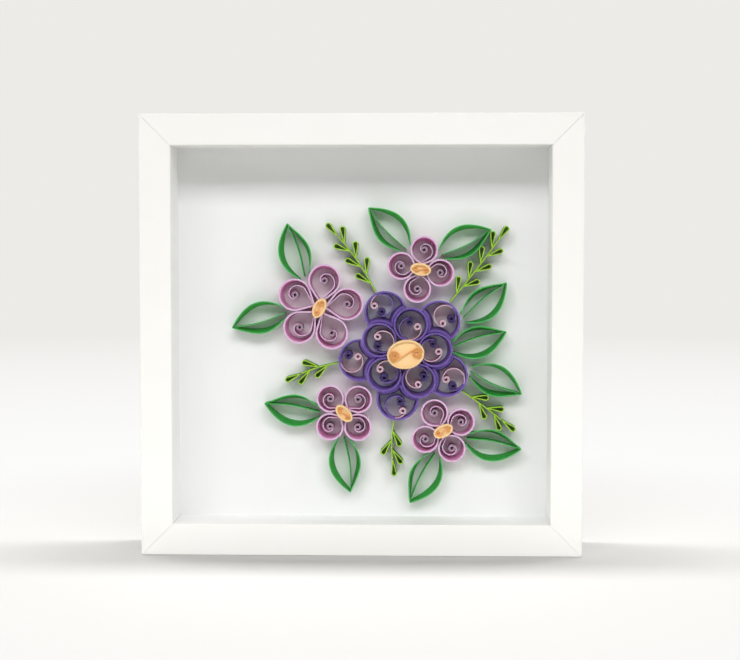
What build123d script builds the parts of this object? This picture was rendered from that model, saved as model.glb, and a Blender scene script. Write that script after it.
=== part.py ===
from build123d import *
import os
from math import asin, atan2, cos, degrees, pi, radians, sin, sqrt

# A box frame that holds a spray of quilled paper flowers on a white card.
# Millimetres, +Z up, front towards -Y, standing on z = 0 about the middle of its base.

# Frame rails
REBATE_SIDE = 230.0  # picture size that the frame takes
WALL_WIDTH = 10.0  # rail wall beside the rebate
LIP_REACH = 8.0  # how far the front lip covers the pane
LIP_DEPTH = 8.0
EDGE_EASE = 0.5
MITRE_GAP = 0.1

# Stack inside the rebate, from the front
REBATE_CLEARANCE = 0.25
PANE_THICKNESS = 2.0
SPACER_DEPTH = 22.0
SPACER_THICKNESS = 7.0
CARD_THICKNESS = 2.0
BACK_THICKNESS = 3.0
BACK_RECESS = 8.0

# Bendable tabs that hold the stack in
TAB_LENGTH = 16.0
TAB_WIDTH = 9.0
TAB_THICKNESS = 0.8
TAB_BITE = 6.0
TAB_CORNER = 2.0
TAB_SPACING = 110.0
TAB_CLEARANCE = 0.05

# Sawtooth hanger, with its two ends turned down and driven into the back board
HANGER_LENGTH = 50.0
HANGER_HEIGHT = 11.0
HANGER_STEEL = 0.9
HANGER_RISE = 2.6
HANGER_SLOPE = 3.0
HANGER_DROP = 32.0
EAR_LENGTH = 8.0
PRONG_DEPTH = 2.4
PRONG_CLEARANCE = 0.05
TOOTH_COUNT = 7
TOOTH_PITCH = 3.4
TOOTH_RADIUS = 1.5

# Paper, with several turns glued into one wall, and its strip widths
PAPER = 0.5
SPRIG_STRIP = 8.0
LEAF_STRIP = 9.0
LILAC_STRIP = 10.0
VIOLET_OUTER_STRIP = 10.0
VIOLET_INNER_STRIP = 12.0
LILAC_CENTRE_STRIP = 4.0
VIOLET_CENTRE_STRIP = 5.0
PETAL_GAP = 0.3
EYE_HOLE = 0.8

# Short flats that stand for the bends of the paper
RING_FLATS = 14
BULB_FLATS = 8
SCROLL_FLATS = 8
ARM_FLATS = 6
OVAL_FLATS = 12
LEAF_FLATS = 4
LOOP_FLATS = 3
EYE_FLATS = 6

# Violet flower: an inner ring of whole coils, and an outer ring tucked behind it
VIOLET_PETAL_COUNT = 5
VIOLET_INNER_RADIUS = 10.0
VIOLET_OUTER_RADIUS = 12.3
VIOLET_TUCK = 6.0
INNER_SCROLL_ROOM = 3.2
OUTER_SCROLL_ROOM = 1.5
SCROLL_OPENING = 84.0
DARK_EYE = 2.4
PALE_EYE = 2.0
INNER_LEAN = 24.0
OUTER_LEAN = 70.0

# Lilac flowers, and the oval coil in the middle of each flower
LILAC_PETAL_RADIUS = 8.0
LEFT_PETAL_RADIUS = 9.4
LILAC_TIP = 2.5
LILAC_EYE = 2.0
LILAC_ARM_ROOM = 2.0
LILAC_ARM_TURN = 240.0
CENTRE_SEAT = 1.2
CENTRE_OVAL = 2.4
CENTRE_WELL = 1.5  # how far the rims of a centre stand above its floor
VIOLET_CENTRE_EYE = 3.8
LILAC_CENTRE_EYE = 1.9

# Leaves
LEAF_LENGTH = 32.0
LEAF_WIDTH = 18.0
LEAF_BASE = 6.0
LEAF_BEND = 16.0
LEAF_GAP = 1.5
VEIN_BOW = 2.6  # how far the vein bows off the leaf's midline

# Sprigs
STEM_BARE = 6.0
STEM_BEND = 16.0
RIGHT_STEM_BEND = 5.0
LOOP_PITCH = 5.5
LOOP_LENGTH = 10.5
LOOP_RADIUS = 1.7
LOOP_GLUED = 1.2
LOOP_SPREAD = 32.0

# Lay-out of the spray, in degrees counter-clockwise from +X
SPRAY_TURN = 8.0
SPRAY_MARGIN = 5.0
LILAC_FLOWERS = {
    "upper": (4, LILAC_PETAL_RADIUS),
    "left": (5, LEFT_PETAL_RADIUS),
    "lower_left": (4, LILAC_PETAL_RADIUS),
    "lower_right": (4, LILAC_PETAL_RADIUS),
}
SPRIG_LOOPS = (7, 4, 4)
RIGHT_LOOPS = (5, 8)
SPRIG_ROOM = 18.0

# Planes of the stack
frame_side = REBATE_SIDE + 2 * WALL_WIDTH
lip_back = LIP_DEPTH
pane_back = lip_back + PANE_THICKNESS
spacer_back = pane_back + SPACER_DEPTH
card_back = spacer_back + CARD_THICKNESS
board_back = card_back + BACK_THICKNESS
frame_depth = board_back + BACK_RECESS
front = -frame_depth / 2
middle = frame_side / 2
sheet_side = REBATE_SIDE - 2 * REBATE_CLEARANCE
window_half = sheet_side / 2 - SPACER_THICKNESS
frame_axis = Axis((0, 0, middle), (0, 1, 0))

os.makedirs("parts", exist_ok=True)


def save(part, name):
    """Label a finished piece and write it."""
    part.label = name
    export_step(part, f"parts/{name}.step")


def upright(depth):
    """Plane across the frame at a depth behind its front, with its normal to the front."""
    return Plane(origin=(0, front + depth, middle), x_dir=(1, 0, 0), z_dir=(0, -1, 0))


def mitre(side):
    """Mitre plane at one end of a top piece, with its normal into the piece."""
    return Plane(origin=(0, 0, middle), z_dir=(-side, 0, 1)).offset(MITRE_GAP / 2)


# Frame rails: one section, eased along its long outer edges, mitred and turned to each side
for turn, name in enumerate(("top_rail", "right_rail", "bottom_rail", "left_rail")):
    with BuildPart() as rail:
        with BuildSketch(Plane.YZ):
            with BuildLine():
                Polyline(
                    (front, frame_side),
                    (front, frame_side - WALL_WIDTH - LIP_REACH),
                    (front + lip_back, frame_side - WALL_WIDTH - LIP_REACH),
                    (front + lip_back, frame_side - WALL_WIDTH),
                    (-front, frame_side - WALL_WIDTH),
                    (-front, frame_side),
                    close=True,
                )
            make_face()
        extrude(amount=middle, both=True)
        long_edges = rail.edges().filter_by(Axis.X)
        front_edges = long_edges.group_by(Axis.Y)[0]
        chamfer([*front_edges, *long_edges.group_by(Axis.Y)[-1]], EDGE_EASE)
        split(bisect_by=mitre(1), keep=Keep.TOP)
        split(bisect_by=mitre(-1), keep=Keep.TOP)
        slot_height = TAB_BITE + TAB_CLEARANCE
        slot_depth = TAB_THICKNESS + 2 * TAB_CLEARANCE
        slot_level = frame_side - WALL_WIDTH + slot_height / 2
        with Locations((0, front + board_back + TAB_THICKNESS / 2, slot_level)):
            with GridLocations(TAB_SPACING, 0, 2, 1):
                Box(TAB_WIDTH + 2 * TAB_CLEARANCE, slot_depth, slot_height, mode=Mode.SUBTRACT)
    save(rail.part.rotate(frame_axis, 90 * turn), name)

# Clear pane behind the lip
with BuildPart() as front_pane:
    with BuildSketch(upright(pane_back)):
        Rectangle(sheet_side, sheet_side)
    extrude(amount=PANE_THICKNESS)
save(front_pane.part, "front_pane")

# Four mitred spacer strips that hold the card away from the pane
with BuildPart() as spacer:
    with BuildSketch(upright(spacer_back)):
        with Locations((0, sheet_side / 2 - SPACER_THICKNESS / 2)):
            Rectangle(sheet_side, SPACER_THICKNESS)
    extrude(amount=SPACER_DEPTH)
    split(bisect_by=mitre(1), keep=Keep.TOP)
    split(bisect_by=mitre(-1), keep=Keep.TOP)
with BuildPart() as spacer_strips:
    for turn in range(4):
        add(spacer.part.rotate(frame_axis, 90 * turn))
save(spacer_strips.part, "spacer_strips")

# White card that carries the paper work
with BuildPart() as art_card:
    with BuildSketch(upright(card_back)):
        Rectangle(sheet_side, sheet_side)
    extrude(amount=CARD_THICKNESS)
save(art_card.part, "art_card")

# Back board, slit for the hanger's ends
hanger_level = sheet_side / 2 - HANGER_DROP
slit_spacing = HANGER_LENGTH - HANGER_STEEL
with BuildPart() as back_board:
    with BuildSketch(upright(board_back)):
        Rectangle(sheet_side, sheet_side)
    extrude(amount=BACK_THICKNESS)
    with BuildSketch(upright(board_back)):
        with Locations((0, hanger_level)):
            with GridLocations(slit_spacing, 0, 2, 1):
                Rectangle(HANGER_STEEL + 2 * PRONG_CLEARANCE, HANGER_HEIGHT + 2 * PRONG_CLEARANCE)
    extrude(amount=PRONG_DEPTH + PRONG_CLEARANCE, mode=Mode.SUBTRACT)
save(back_board.part, "back_board")

# Steel tabs, driven into the rails and bent flat on the back board
with BuildPart() as tab_pair:
    with BuildSketch(upright(board_back + TAB_THICKNESS)) as tab_outline:
        with Locations((0, REBATE_SIDE / 2 + TAB_BITE - TAB_LENGTH / 2)):
            with GridLocations(TAB_SPACING, 0, 2, 1):
                Rectangle(TAB_WIDTH, TAB_LENGTH)
        chamfer(tab_outline.vertices().group_by(Axis.Y)[0], TAB_CORNER)
    extrude(amount=TAB_THICKNESS)
with BuildPart() as retaining_tabs:
    for turn in range(4):
        add(tab_pair.part.rotate(frame_axis, 90 * turn))
save(retaining_tabs.part, "retaining_tabs")

# Hanger: a steel strip with a raised toothed bridge between two flat ears
ear_end = HANGER_LENGTH / 2
ear_start = ear_end - EAR_LENGTH
bridge_end = ear_start - HANGER_SLOPE
board_face = front + board_back
with BuildPart() as hanger:
    with BuildSketch(Plane.XY.offset(middle + hanger_level - HANGER_HEIGHT / 2)):
        with BuildLine():
            Polyline(
                (0, board_face + HANGER_RISE),
                (bridge_end, board_face + HANGER_RISE),
                (ear_start, board_face),
                (ear_end - HANGER_STEEL, board_face),
                (ear_end - HANGER_STEEL, board_face - PRONG_DEPTH),
                (ear_end, board_face - PRONG_DEPTH),
                (ear_end, board_face + HANGER_STEEL),
                (ear_start, board_face + HANGER_STEEL),
                (bridge_end, board_face + HANGER_RISE + HANGER_STEEL),
                (0, board_face + HANGER_RISE + HANGER_STEEL),
                close=True,
            )
        make_face()
        mirror(about=Plane.YZ)
    extrude(amount=HANGER_HEIGHT)
    with BuildSketch(upright(board_back)):
        with Locations((0, hanger_level - HANGER_HEIGHT / 2)):
            with GridLocations(TOOTH_PITCH, 0, TOOTH_COUNT, 1):
                RegularPolygon(TOOTH_RADIUS, 3, rotation=90)
    extrude(amount=-BACK_RECESS, mode=Mode.SUBTRACT)
save(hanger.part, "hanger")

# The paper work is drawn on the card's front, and its strips stand towards the pane
card_front = upright(spacer_back)


def polar(centre, radius, angle):
    """Point on the card at a radius and an angle from a centre."""
    return centre + Vector(radius * cos(radians(angle)), radius * sin(radians(angle)))


def arc_points(centre, radius, start, sweep, flats):
    """Ends of the flats of an arc."""
    return [polar(centre, radius, start + sweep * i / flats) for i in range(flats + 1)]


def strip(route):
    """One strip of paper on edge along a route."""
    near = []
    far = []
    for i, point in enumerate(route):
        along = route[min(i + 1, len(route) - 1)] - route[max(i - 1, 0)]
        across = Vector(-along.Y, along.X).normalized() * PAPER / 2
        near.append(point + across)
        far.append(point - across)
    Polygon(*near, *far[::-1])


def eye(centre, radius, towards):
    """Tight roll at the end of a strip, which meets its strip in one direction."""
    with Locations(centre):
        RegularPolygon(radius, EYE_FLATS, rotation=towards)
        RegularPolygon(EYE_HOLE, EYE_FLATS, rotation=towards, mode=Mode.SUBTRACT)


def teardrop(tip, centre, radius, flats, inset=0.0):
    """Outline from a sharp tip to a round end, moved in by a wall where one is given."""
    axis = centre - tip
    heading = degrees(atan2(axis.Y, axis.X))
    flank = degrees(asin(radius / axis.length))
    inner_tip = polar(tip, inset / sin(radians(flank)), heading)
    start = heading - 90 - flank
    return [inner_tip, *arc_points(centre, radius - inset, start, 180 + 2 * flank, flats)]


def coil_teardrop(tip, centre, radius, flats):
    """Strip closed round a teardrop."""
    Polygon(*teardrop(tip, centre, radius, flats))
    Polygon(*teardrop(tip, centre, radius, flats, PAPER), mode=Mode.SUBTRACT)


def scroll(petal, petal_radius, radius, contact, lean):
    """C scroll glued to one side of a coil, with its two ends rolled into eyes."""
    middle_point = polar(petal, petal_radius - PAPER / 2 - radius, contact)
    opening = contact + 180 + lean
    first = opening + SCROLL_OPENING / 2
    last = opening - SCROLL_OPENING / 2 + 360
    lead = arc_points(middle_point, radius, first, contact + 360 - first, SCROLL_FLATS // 2)
    tail = arc_points(middle_point, radius, contact, last - contact - 360, SCROLL_FLATS // 2)
    strip(lead + tail[1:])
    eye(polar(middle_point, radius - DARK_EYE, first), DARK_EYE, first)
    eye(polar(middle_point, radius - PALE_EYE, last), PALE_EYE, last)


def oval(flower, long_half, short_half, turn):
    """Corners of an oval about a flower's middle."""
    corners = []
    for i in range(OVAL_FLATS):
        angle = 2 * pi * i / OVAL_FLATS
        corner = Vector(long_half * cos(angle), short_half * sin(angle))
        corners.append(flower + corner.rotate(Axis.Z, turn))
    return corners


def oval_centre(flower, level, seat_radius, eye_radius, width, turn, name):
    """Oval coil on a stack of paper discs, with an S strip and two eyes, seated on a flower's petals."""
    long_half = seat_radius + CENTRE_SEAT + CENTRE_OVAL
    short_half = seat_radius + CENTRE_SEAT
    outline = oval(flower, long_half, short_half, turn)
    with BuildPart() as centre:
        with BuildSketch(card_front.offset(level)):
            Polygon(*outline)
        extrude(amount=width - CENTRE_WELL)
        with BuildSketch(card_front.offset(level)):
            Polygon(*outline)
            Polygon(*oval(flower, long_half - PAPER, short_half - PAPER, turn), mode=Mode.SUBTRACT)
            eye_orbit = long_half - PAPER / 2 - eye_radius
            eyes = (polar(flower, eye_orbit, turn), polar(flower, -eye_orbit, turn))
            strip([polar(eyes[0], eye_radius, turn + 90), polar(eyes[1], -eye_radius, turn + 90)])
            eye(eyes[0], eye_radius, turn)
            eye(eyes[1], eye_radius, turn + 180)
        extrude(amount=width)
    save(centre.part, name)


# Where the flowers stand
half_pitch = pi / VIOLET_PETAL_COUNT
inner_orbit = (VIOLET_INNER_RADIUS + PETAL_GAP / 2) / sin(half_pitch)
tucked_spacing = VIOLET_INNER_RADIUS + VIOLET_OUTER_RADIUS - VIOLET_TUCK
outer_orbit = inner_orbit * cos(half_pitch)
outer_orbit += sqrt(tucked_spacing**2 - (inner_orbit * sin(half_pitch)) ** 2)
violet_reach = outer_orbit + VIOLET_OUTER_RADIUS
valley_reach = inner_orbit + VIOLET_INNER_RADIUS
petal_step = 360 / VIOLET_PETAL_COUNT


def lilac_orbit(petals, radius):
    """Distance of a lilac petal's round end from its flower's middle."""
    return (radius + PETAL_GAP / 2) / sin(pi / petals)


def satellite_distance(petals, radius):
    """Distance at which a lilac flower nests between two outer violet petals, clear of the inner one."""
    reach = lilac_orbit(petals, radius) + radius
    touching = reach + VIOLET_OUTER_RADIUS + PETAL_GAP
    across = outer_orbit * sin(half_pitch)
    nested = outer_orbit * cos(half_pitch) + sqrt(touching**2 - across**2)
    return max(nested, valley_reach + PETAL_GAP + reach)


def lilac_valley(petals, radius):
    """Distance at which a leaf's open base fits between two lilac petals."""
    orbit = lilac_orbit(petals, radius)
    clear = radius + PETAL_GAP
    across = orbit * sin(pi / petals) - LEAF_BASE / 2
    return orbit * cos(pi / petals) + sqrt(clear**2 - across**2)


def sprig_length(loops):
    """Length of a sprig from its foot to the end of its last loop."""
    return STEM_BARE + (loops - 1) * LOOP_PITCH + LOOP_LENGTH


lowest = LILAC_FLOWERS["lower_right"]
lowest_drop = satellite_distance(*lowest) * sin(radians(petal_step - SPRAY_TURN))
lower_reach = lowest_drop + lilac_valley(*lowest) + LEAF_LENGTH
right_reach = violet_reach + sprig_length(RIGHT_LOOPS[0])
violet = Vector(
    window_half - SPRAY_MARGIN - right_reach,
    lower_reach - window_half + SPRAY_MARGIN,
)

# Inner violet petals: whole coils
inner_scroll = VIOLET_INNER_RADIUS - INNER_SCROLL_ROOM
inner_petals = []
for i in range(VIOLET_PETAL_COUNT):
    heading = SPRAY_TURN + petal_step * i
    petal = polar(violet, inner_orbit, heading)
    inner_petals.append((petal, heading))
    with BuildPart() as coil:
        with BuildSketch(card_front):
            with Locations(petal):
                RegularPolygon(VIOLET_INNER_RADIUS, RING_FLATS, rotation=heading)
                RegularPolygon(VIOLET_INNER_RADIUS - PAPER, RING_FLATS, rotation=heading, mode=Mode.SUBTRACT)
            scroll(petal, VIOLET_INNER_RADIUS, inner_scroll, heading + 180, INNER_LEAN * (-1) ** i)
        extrude(amount=VIOLET_INNER_STRIP)
    save(coil.part, f"violet_inner_petal_{i + 1}")

# Outer violet petals: coils pressed against the two inner ones that they tuck behind.
# The largest circle between the round end and both inner coils sets the room for the scroll.
round_end = outer_orbit + VIOLET_OUTER_RADIUS - PAPER / 2 - inner_orbit * cos(half_pitch)
beside = inner_orbit * sin(half_pitch)
pressed = VIOLET_INNER_RADIUS + PETAL_GAP + PAPER * 3 / 2
outer_scroll = (round_end**2 + beside**2 - pressed**2) / (2 * (round_end + pressed)) - OUTER_SCROLL_ROOM
for i in range(VIOLET_PETAL_COUNT):
    heading = SPRAY_TURN + petal_step * (i + 0.5)
    petal = polar(violet, outer_orbit, heading)
    neighbours = (inner_petals[i], inner_petals[(i + 1) % VIOLET_PETAL_COUNT])
    with BuildSketch(card_front) as hollow:
        with Locations(petal):
            RegularPolygon(VIOLET_OUTER_RADIUS - PAPER, RING_FLATS, rotation=heading)
        for neighbour, neighbour_heading in neighbours:
            clear = VIOLET_INNER_RADIUS + PETAL_GAP + PAPER
            with Locations(neighbour):
                RegularPolygon(clear, RING_FLATS, rotation=neighbour_heading, mode=Mode.SUBTRACT)
    with BuildPart() as coil:
        with BuildSketch(card_front):
            with Locations(petal):
                RegularPolygon(VIOLET_OUTER_RADIUS, RING_FLATS, rotation=heading)
            for neighbour, neighbour_heading in neighbours:
                clear = VIOLET_INNER_RADIUS + PETAL_GAP
                with Locations(neighbour):
                    RegularPolygon(clear, RING_FLATS, rotation=neighbour_heading, mode=Mode.SUBTRACT)
            add(hollow.sketch_local, mode=Mode.SUBTRACT)
            scroll(petal, VIOLET_OUTER_RADIUS, outer_scroll, heading, OUTER_LEAN * (-1) ** i)
        extrude(amount=VIOLET_OUTER_STRIP)
    save(coil.part, f"violet_outer_petal_{i + 1}")

inner_end = inner_orbit - VIOLET_INNER_RADIUS
oval_centre(
    violet,
    VIOLET_INNER_STRIP,
    inner_end,
    VIOLET_CENTRE_EYE,
    VIOLET_CENTRE_STRIP,
    SPRAY_TURN,
    "violet_centre",
)


def lilac_petal(flower, heading, orbit, radius, side, name):
    """Teardrop coil whose loose inner end winds from the tip to one eye."""
    tip = polar(flower, LILAC_TIP, heading)
    bulb = polar(flower, orbit, heading)
    arm_radius = radius - LILAC_ARM_ROOM
    start = 90 - degrees(asin(arm_radius / (orbit - LILAC_TIP)))
    arm = [tip]
    for i in range(ARM_FLATS + 1):
        share = i / ARM_FLATS
        winding = arm_radius * (LILAC_EYE / arm_radius) ** share
        arm.append(polar(bulb, winding, heading + 180 + side * (start + LILAC_ARM_TURN * share)))
    with BuildPart() as coil:
        with BuildSketch(card_front):
            coil_teardrop(tip, bulb, radius, BULB_FLATS)
            strip(arm)
            eye(bulb, LILAC_EYE, heading + 180 + side * (start + LILAC_ARM_TURN))
        extrude(amount=LILAC_STRIP)
    save(coil.part, name)


def leaf(foot, heading, bend, name):
    """Strip folded at the leaf's point, open at its foot, with a vein strip inside."""
    opening = asin(LEAF_BASE / LEAF_WIDTH) / pi
    turn = radians(bend)
    bow = VEIN_BOW if bend > 0 else -VEIN_BOW
    vein = []
    sides = ([], [])
    for i in range(LEAF_FLATS + 1):
        share = i / LEAF_FLATS
        along = LEAF_LENGTH * sin(turn * share) / turn
        across = LEAF_LENGTH * (1 - cos(turn * share)) / turn
        point = foot + Vector(along, across).rotate(Axis.Z, heading)
        half_width = LEAF_WIDTH / 2 * sin(pi * (opening + (1 - opening) * share))
        normal = heading + bend * share + 90
        vein.append(polar(point, bow * sin(pi * share), normal))
        sides[0].append(polar(point, half_width, normal))
        sides[1].append(polar(point, -half_width, normal))
    with BuildPart() as blade:
        with BuildSketch(card_front):
            strip(sides[0] + sides[1][-2::-1])
            strip(vein)
        extrude(amount=LEAF_STRIP)
    save(blade.part, name)


def sprig(foot, heading, loops, bend, name):
    """Stem strip with loops glued along it by turns, and one at its end."""
    stem_length = STEM_BARE + (loops - 1) * LOOP_PITCH
    turn = radians(bend)
    stem = []
    headings = []
    for i in range(loops):
        share = (STEM_BARE + i * LOOP_PITCH) / stem_length
        along = stem_length * sin(turn * share) / turn
        across = stem_length * (1 - cos(turn * share)) / turn
        stem.append(foot + Vector(along, across).rotate(Axis.Z, heading))
        headings.append(heading + bend * share)
    with BuildPart() as spray:
        with BuildSketch(card_front):
            strip([foot, *stem])
            for i, point in enumerate(stem):
                side = 0 if i == loops - 1 else (-1) ** i
                angle = headings[i] + side * LOOP_SPREAD
                tip = polar(point, -LOOP_GLUED, angle)
                round_end = polar(point, LOOP_LENGTH - LOOP_RADIUS, angle)
                coil_teardrop(tip, round_end, LOOP_RADIUS, LOOP_FLATS)
        extrude(amount=SPRIG_STRIP)
    save(spray.part, name)


# Lilac flowers in the valleys of the violet one, each with a leaf on both sides of its outer petal
leaf_count = 0
for place, (site, (petals, radius)) in enumerate(LILAC_FLOWERS.items(), start=1):
    outward = SPRAY_TURN + petal_step * place
    flower = polar(violet, satellite_distance(petals, radius), outward)
    orbit = lilac_orbit(petals, radius)
    for i in range(petals):
        heading = outward + 360 / petals * i
        lilac_petal(flower, heading, orbit, radius, (-1) ** i, f"{site}_lilac_petal_{i + 1}")
    oval_centre(
        flower,
        LILAC_STRIP,
        LILAC_TIP,
        LILAC_CENTRE_EYE,
        LILAC_CENTRE_STRIP,
        outward + 90,
        f"{site}_lilac_centre",
    )
    for side in (-1, 1):
        leaf_count += 1
        heading = outward + side * 180 / petals
        foot = polar(flower, lilac_valley(petals, radius), heading)
        leaf(foot, heading, side * LEAF_BEND, f"leaf_{leaf_count}")

# Fan of three leaves in the free valley on the right
clear_reach = violet_reach + PETAL_GAP
fan_step = degrees((LEAF_WIDTH + LEAF_GAP) / (clear_reach + LEAF_LENGTH / 4))
for side in (-1, 0, 1):
    leaf_count += 1
    heading = SPRAY_TURN + side * fan_step
    start = clear_reach if side else valley_reach + PETAL_GAP
    leaf(polar(violet, start, heading), heading, LEAF_BEND * (side or 1), f"leaf_{leaf_count}")

# Sprigs: between the lilac flowers, and on both sides of the fan
for i, loops in enumerate(SPRIG_LOOPS):
    heading = SPRAY_TURN + petal_step * (i + 1.5)
    sprig(polar(violet, clear_reach, heading), heading, loops, STEM_BEND, f"sprig_{i + 1}")
for side, loops in zip((-1, 1), RIGHT_LOOPS):
    heading = SPRAY_TURN + side * (fan_step + SPRIG_ROOM)
    number = len(SPRIG_LOOPS) + (side + 3) // 2
    bend = side * RIGHT_STEM_BEND
    sprig(polar(violet, clear_reach, heading), heading, loops, bend, f"sprig_{number}")
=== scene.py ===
# %% [markdown]
# # A box frame with quilled paper flowers
# Quilling is the craft of rolling narrow strips of paper and gluing them down on edge. This lesson
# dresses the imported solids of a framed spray: the four rails, the pane and the back keep their solids
# and get better finishes, and every coil, leaf and sprig is rolled again from fine strips of paper.

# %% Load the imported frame
import cmath
from math import asin, ceil, cos, degrees, inf, pi, radians, sin, sqrt

import bpy
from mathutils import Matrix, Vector


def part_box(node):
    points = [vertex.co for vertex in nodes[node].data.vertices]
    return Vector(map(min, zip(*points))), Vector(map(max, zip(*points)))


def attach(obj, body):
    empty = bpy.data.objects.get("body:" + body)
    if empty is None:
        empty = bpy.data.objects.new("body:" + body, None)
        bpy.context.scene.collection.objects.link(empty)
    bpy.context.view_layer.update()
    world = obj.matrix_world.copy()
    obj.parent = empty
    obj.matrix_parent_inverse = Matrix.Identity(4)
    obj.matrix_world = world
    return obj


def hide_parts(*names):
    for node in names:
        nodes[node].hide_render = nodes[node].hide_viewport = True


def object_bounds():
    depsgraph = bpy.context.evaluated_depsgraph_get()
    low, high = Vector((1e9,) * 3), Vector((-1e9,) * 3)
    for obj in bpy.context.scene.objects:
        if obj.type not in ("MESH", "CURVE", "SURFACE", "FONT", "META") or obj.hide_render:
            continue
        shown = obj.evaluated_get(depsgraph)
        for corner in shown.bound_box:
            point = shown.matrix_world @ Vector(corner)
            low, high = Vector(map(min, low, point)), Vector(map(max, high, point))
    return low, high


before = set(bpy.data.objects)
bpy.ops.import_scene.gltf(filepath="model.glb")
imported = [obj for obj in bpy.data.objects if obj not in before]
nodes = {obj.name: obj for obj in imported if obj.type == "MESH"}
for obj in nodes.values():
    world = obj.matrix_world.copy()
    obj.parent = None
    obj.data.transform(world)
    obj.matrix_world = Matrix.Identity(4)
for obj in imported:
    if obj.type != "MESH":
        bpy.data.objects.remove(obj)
cad_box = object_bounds()
scene = bpy.context.scene
scene.view_settings.view_transform = "Standard"
print("nodes", len(nodes), "box", [tuple(round(v, 4) for v in corner) for corner in cad_box])

# %% [markdown]
# ## Camera
# The picture was taken from a little to the right and a little above the middle of the frame, about
# 0.8 m away. The corners of the rails and of the card in the photograph fix the place, the turn and
# the lens together, so the camera is set from them and not by eye.

# %% Camera
MM = 0.001
SENSOR = 36.0
PICTURE_WIDTH = 740
FOCAL_PIXELS = 1440.5
# The fitted place is in metres, and the turns are in radians.
CAMERA_PLACE = (0.0267, -0.8315, 0.1728)
CAMERA_TILT = 0.0546
CAMERA_TURN = 0.0266

camera_data = bpy.data.cameras.new("photo_camera")
camera_data.sensor_width = SENSOR
camera_data.lens = FOCAL_PIXELS * SENSOR / PICTURE_WIDTH
camera_data.clip_start = 0.01
camera = bpy.data.objects.new("photo_camera", camera_data)
camera.location = CAMERA_PLACE
camera.rotation_euler = (pi / 2 - CAMERA_TILT, 0.0, CAMERA_TURN)
scene.collection.objects.link(camera)
scene.camera = camera
print("lens", round(camera_data.lens, 2), "mm")

# %% [markdown]
# ## Small helpers for materials
# Colours are picked as sRGB hex values, as one reads them off a screen, but shaders work in linear
# light, so one function converts them. Another adds a node with its settings and its links in one
# call, which keeps each finish short enough to read. The others put these two together for what comes
# up again and again: a new material, a blend of two colours, and a second shader over the first.

# %% Colour and node helpers
def linear(hex_colour):
    """sRGB hex value as a linear colour with full opacity."""
    channels = [int(hex_colour[i : i + 2], 16) / 255 for i in (1, 3, 5)]
    return [c / 12.92 if c <= 0.04045 else ((c + 0.055) / 1.055) ** 2.4 for c in channels] + [1.0]


def add(tree, kind, links=None, values=None, **settings):
    """Node of a kind, with settings, socket values and links from other nodes' outputs."""
    node = tree.nodes.new(kind)
    for key, value in settings.items():
        setattr(node, key, value)
    for socket, value in (values or {}).items():
        node.inputs[socket].default_value = value
    for socket, source in (links or {}).items():
        tree.links.new(source, node.inputs[socket])
    return node


def new_material(name, values):
    """Material with a Principled shader, whose sockets get the values that hold all over."""
    material = bpy.data.materials.new(name)
    material.use_nodes = True
    tree = material.node_tree
    tree.nodes.clear()
    shader = add(tree, "ShaderNodeBsdfPrincipled", values=values)
    add(tree, "ShaderNodeOutputMaterial", {"Surface": shader.outputs["BSDF"]})
    return material, tree, shader


def blend(tree, factor, first, second):
    """Output that runs from one hex colour to another as a factor runs from 0 to 1."""
    colours = {"A": linear(first), "B": linear(second)}
    return add(tree, "ShaderNodeMix", {"Factor": factor}, colours, data_type="RGBA").outputs["Result"]


def lay_over(tree, shader, second, share):
    """Show a second shader in place of a material's own, by a share."""
    both = add(tree, "ShaderNodeMixShader", {0: share, 1: shader.outputs[0], 2: second.outputs[0]})
    output = next(node for node in tree.nodes if node.type == "OUTPUT_MATERIAL")
    tree.links.new(both.outputs[0], output.inputs["Surface"])


print("mid grey in linear light", round(linear("#808080")[0], 3))

# %% [markdown]
# ## Studio
# The photograph has a plain white ground and soft light from above: the top rail throws a wide, soft
# shadow on the card, the coils throw small ones downwards, and a narrow one lies in front of the
# bottom rail. One large lamp high in front and one overhead give those, a weaker one shows the back,
# and a white world that is brighter at both sides fills the rest. To the camera the world is a fixed
# pale tone, and the floor fades into that tone away from the frame, so there is no horizon and no
# extra light on the object.

# %% World and lamps
BACKGROUND = "#edebe8"
FILL_ALL_ROUND = 0.06
FILL_AT_SIDES = 1.3


def seen_rays(tree):
    """Output that is 1 for rays that show the background: from the camera, or by gloss or glass."""
    path = add(tree, "ShaderNodeLightPath").outputs
    gloss = add(
        tree,
        "ShaderNodeMath",
        {0: path["Is Glossy Ray"], 1: path["Is Transmission Ray"]},
        operation="MAXIMUM",
    )
    seen = add(
        tree,
        "ShaderNodeMath",
        {0: path["Is Camera Ray"], 1: gloss.outputs[0]},
        operation="MAXIMUM",
    )
    return seen.outputs[0]


world = bpy.data.worlds.new("white_studio")
scene.world = world
world.use_nodes = True
sky = world.node_tree
sky.nodes.clear()
# Light from the sides reaches the side walls of the box, so the fill grows with the square of X.
way = add(sky, "ShaderNodeSeparateXYZ", {0: add(sky, "ShaderNodeTexCoord").outputs["Generated"]})
aside = add(sky, "ShaderNodeMath", {0: way.outputs["X"], 1: way.outputs["X"]}, operation="MULTIPLY")
strength = add(
    sky,
    "ShaderNodeMath",
    {0: aside.outputs[0]},
    {1: FILL_AT_SIDES, 2: FILL_ALL_ROUND},
    operation="MULTIPLY_ADD",
)
fill = add(
    sky, "ShaderNodeBackground", {"Strength": strength.outputs[0]}, {"Color": linear("#ffffff")}
)
ground = add(sky, "ShaderNodeBackground", values={"Color": linear(BACKGROUND), "Strength": 1.0})
both = add(sky, "ShaderNodeMixShader", {0: seen_rays(sky), 1: fill.outputs[0], 2: ground.outputs[0]})
add(sky, "ShaderNodeOutputWorld", {"Surface": both.outputs[0]})


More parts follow.
